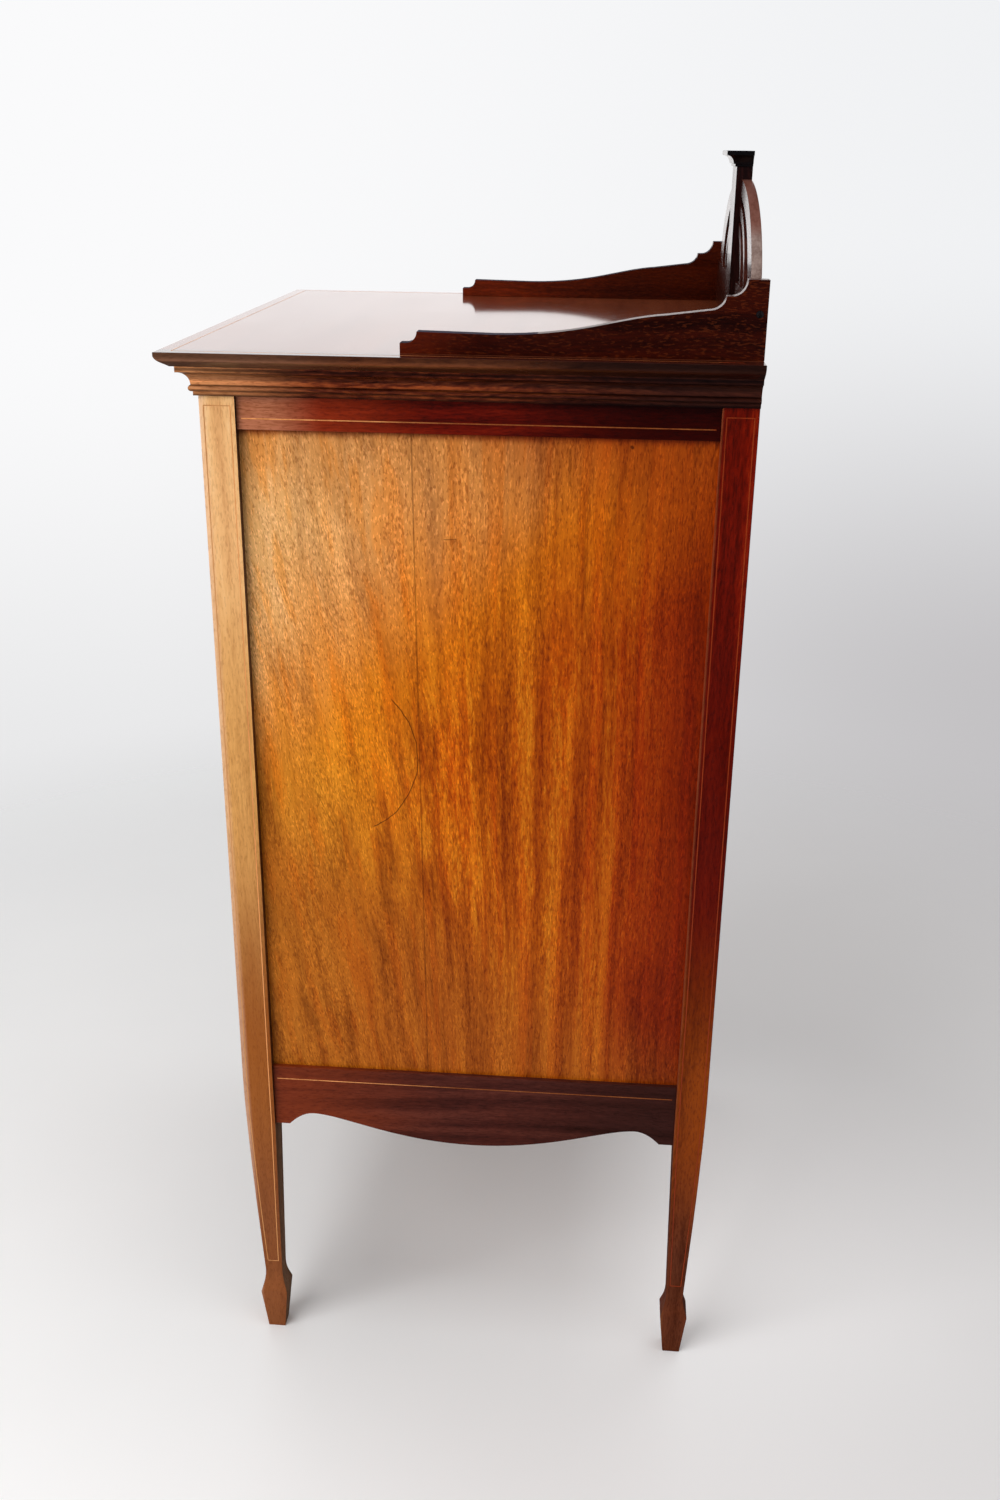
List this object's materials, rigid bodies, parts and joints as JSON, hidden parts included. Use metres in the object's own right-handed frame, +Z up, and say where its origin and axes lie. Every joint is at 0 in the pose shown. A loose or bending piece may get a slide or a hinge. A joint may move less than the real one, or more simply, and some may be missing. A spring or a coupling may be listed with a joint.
{
  "type": "music cabinet",
  "caption": "Upright mahogany music cabinet on tapered spade-foot legs, with shaped aprons, a low gallery with an arched pierced back, and one hinged, locking door over shelves.",
  "frame": {"origin": "on the floor, under the middle of the whole cabinet's box", "axes": "+Z up; the door faces -Y; +X is to the right of someone who faces the door"},
  "size_m": [0.51, 0.44, 1.069],
  "materials": {
    "mahogany_panel": "polished golden mahogany veneer",
    "mahogany_frame": "polished red-brown mahogany",
    "mahogany_dark": "polished dark mahogany",
    "inner_wood": "matte unpolished secondary wood",
    "brass": "aged brass",
    "steel": "dull steel"
  },
  "bodies": {
    "case": {"leg_front_right": "mahogany_frame", "leg_front_left": "mahogany_frame", "leg_back_right": "mahogany_frame", "leg_back_left": "mahogany_frame", "side_panel_right": "mahogany_panel", "side_panel_left": "mahogany_panel", "side_top_rail_right": "mahogany_dark", "side_top_rail_left": "mahogany_dark", "side_apron_right": "mahogany_dark", "side_apron_left": "mahogany_dark", "front_top_rail": "mahogany_dark", "front_apron": "mahogany_dark", "back_top_rail": "inner_wood", "back_bottom_rail": "inner_wood", "back_board_right": "inner_wood", "back_board_middle": "inner_wood", "back_board_left": "inner_wood", "bottom_board": "inner_wood", "bottom_cleats": "inner_wood", "top_board": "mahogany_dark", "glue_blocks": "inner_wood", "cornice_front": "mahogany_dark", "cornice_right": "mahogany_dark", "cornice_left": "mahogany_dark", "gallery_rail_right": "mahogany_dark", "gallery_rail_left": "mahogany_dark", "gallery_back_rail": "mahogany_dark", "gallery_arch_right": "mahogany_dark", "gallery_arch_left": "mahogany_dark", "gallery_bars_right": "mahogany_dark", "gallery_bars_left": "mahogany_dark", "gallery_post": "mahogany_dark", "gallery_cap": "mahogany_dark", "gallery_screws": "steel", "shelf_1": "inner_wood", "shelf_2": "inner_wood", "shelf_3": "inner_wood", "shelf_4": "inner_wood", "shelf_5": "inner_wood", "shelf_bearers_right": "inner_wood", "shelf_bearers_left": "inner_wood", "door_stop": "inner_wood", "strike_plate": "brass", "hinge_leaf_leg_upper": "brass", "hinge_leaf_leg_lower": "brass", "hinge_leg_screws": "brass", "hinge_pins": "steel"},
    "door": {"door_stile_hinge": "mahogany_frame", "door_stile_lock": "mahogany_frame", "door_rail_top": "mahogany_frame", "door_rail_bottom": "mahogany_frame", "door_panel": "mahogany_panel", "door_beads": "mahogany_dark", "hinge_leaf_door_upper": "brass", "hinge_leaf_door_lower": "brass", "hinge_door_screws": "brass", "lock_case": "brass", "escutcheon": "brass"},
    "bolt": {"lock_bolt": "steel"},
    "key": {"key": "brass"}
  },
  "joints": [
    {"name": "door_hinge", "type": "hinge", "parent": "case", "child": "door", "pos_m": [0.2025, -0.197, 0.5875], "axis": [0, 0, 1], "range_deg": [0, 110]},
    {"name": "key_turn", "type": "hinge", "parent": "door", "child": "key", "pos_m": [-0.182, -0.2, 0.58283], "axis": [0, -1, 0], "range_deg": [0, 185]},
    {"name": "bolt_slide", "type": "slide", "parent": "door", "child": "bolt", "axis": [-1, 0, 0], "range_m": [0, 0.007]}
  ],
  "couplings": [
    {"joint": "key_turn", "follows": "bolt_slide", "rad_per_m": 448.79}
  ]
}
